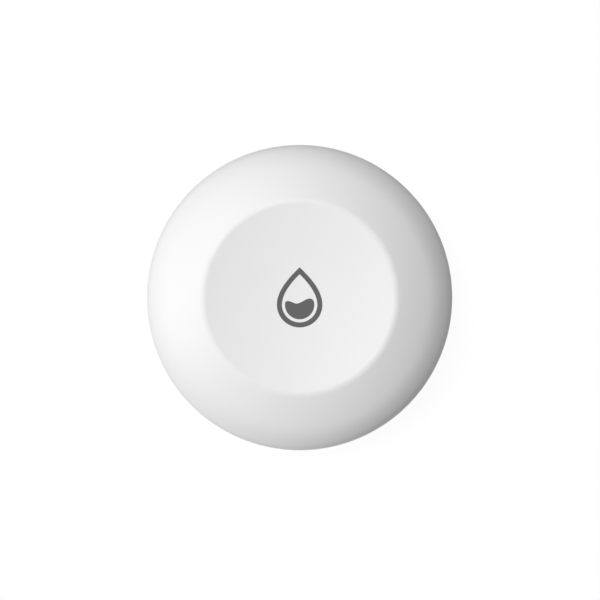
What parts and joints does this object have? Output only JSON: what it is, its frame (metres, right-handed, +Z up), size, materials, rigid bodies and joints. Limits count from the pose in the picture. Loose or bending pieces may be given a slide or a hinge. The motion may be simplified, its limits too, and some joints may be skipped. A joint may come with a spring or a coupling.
{
  "type": "water leak sensor",
  "caption": "White puck-shaped water leak sensor with a dished push-button top, floor probes and a twist-lock coin-cell cover underneath.",
  "frame": {"origin": "on the floor plane, under the middle of the puck", "axes": "+Z up out of the button, +X towards the right-hand probe, +Y from the foot of the printed drop to its tip"},
  "size_m": [0.05, 0.05, 0.015],
  "materials": {
    "shell_white": "moulded, very fine satin texture",
    "print_grey": "pad print",
    "seal_rubber": "moulded silicone",
    "pad_foam": "closed-cell foam",
    "cell_steel": "nickel plated, fine brushed",
    "cell_ring": "moulded polypropylene",
    "cell_core": "pressed",
    "holder_black": "moulded, satin",
    "spring_steel": "stamped, nickel plated",
    "board_green": "solder mask on laminate",
    "copper_gold": "gold flash",
    "switch_black": "moulded",
    "switch_steel": "stamped",
    "plunger_black": "moulded",
    "led_white": "clear over phosphor",
    "chip_black": "moulded epoxy",
    "crystal_metal": "welded lid",
    "tantalum_yellow": "moulded",
    "ceramic_tan": "fired",
    "resistor_black": "glazed",
    "probe_steel": "turned stainless steel",
    "screw_steel": "zinc plated"
  },
  "bodies": {
    "casing": {"top_shell": "shell_white", "case_gasket": "seal_rubber", "bottom_shell": "shell_white", "battery_holder": "holder_black", "positive_clip": "spring_steel", "negative_spring": "spring_steel", "circuit_board": "board_green", "switch_base": "switch_black", "switch_leads": "spring_steel", "switch_frame": "switch_steel", "switch_dome": "switch_steel", "status_led": "led_white", "radio_chip": "chip_black", "crystals": "crystal_metal", "reservoir_capacitor": "tantalum_yellow", "transistors": "chip_black", "resistors": "resistor_black", "capacitors": "ceramic_tan", "antenna_trace": "copper_gold", "test_pads": "copper_gold", "probe_left": "probe_steel", "probe_right": "probe_steel", "probe_seals": "seal_rubber", "probe_nuts": "probe_steel", "probe_contacts": "spring_steel", "board_screws": "screw_steel"},
    "button": {"press_dish": "shell_white", "drop_mark": "print_grey"},
    "switch_plunger": {"switch_plunger": "plunger_black"},
    "battery": {"battery_can": "cell_steel", "battery_cap": "cell_steel", "battery_gasket": "cell_ring", "battery_core": "cell_core"},
    "cover_seal": {"cover_seal": "seal_rubber"},
    "battery_cover": {"battery_cover": "shell_white", "cover_pad": "pad_foam"}
  },
  "joints": [
    {"name": "button_press", "type": "slide", "parent": "casing", "child": "button", "axis": [0, 0, -1], "range_m": [0, 0.00025], "stiffness_N_per_m": 8000},
    {"name": "switch_press", "type": "slide", "parent": "casing", "child": "switch_plunger", "axis": [0, 0, -1], "range_m": [0, 0.00025]},
    {"name": "battery_out", "type": "slide", "parent": "casing", "child": "battery", "axis": [0, 0, -1], "range_m": [0, 0.02]},
    {"name": "cover_lift", "type": "slide", "parent": "battery", "child": "cover_seal", "axis": [0, 0, -1], "range_m": [0, 0.014]},
    {"name": "cover_turn", "type": "hinge", "parent": "cover_seal", "child": "battery_cover", "pos_m": [0, 0, 0.0035], "axis": [0, 0, 1], "range_deg": [0, 18]}
  ],
  "couplings": [
    {"joint": "switch_press", "follows": "button_press", "ratio": 1}
  ]
}
